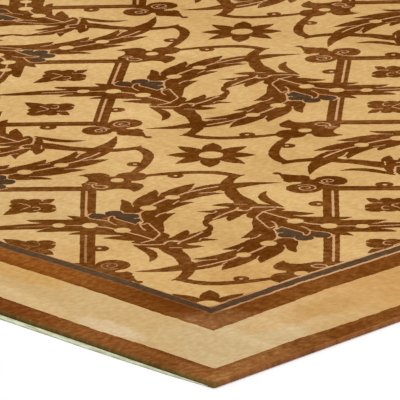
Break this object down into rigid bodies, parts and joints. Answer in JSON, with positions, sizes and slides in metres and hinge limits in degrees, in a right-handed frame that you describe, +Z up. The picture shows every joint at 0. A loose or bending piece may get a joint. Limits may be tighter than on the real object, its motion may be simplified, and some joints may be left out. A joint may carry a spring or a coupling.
{
  "type": "indian rug",
  "caption": "Large flat knotted wool rug: gold ground with a brown leaf and scroll lattice, a beige border between brown bands, and narrow cotton end webs.",
  "frame": {"origin": "on the floor, under the middle of the rug", "axes": "+X across the rug, +Y along it, +Z up out of the pile; the short ends face -Y and +Y"},
  "size_m": [2.7459, 3.658, 0.01],
  "materials": {
    "wool_pile": "cut wool pile in gold, beige, red-brown, slate brown and cream, matt with a soft sheen",
    "cotton_web": "plain woven undyed cotton, matt"
  },
  "bodies": {
    "root": {"knotted_pile": "wool_pile", "front_end_web": "cotton_web", "back_end_web": "cotton_web"}
  },
  "joints": []
}
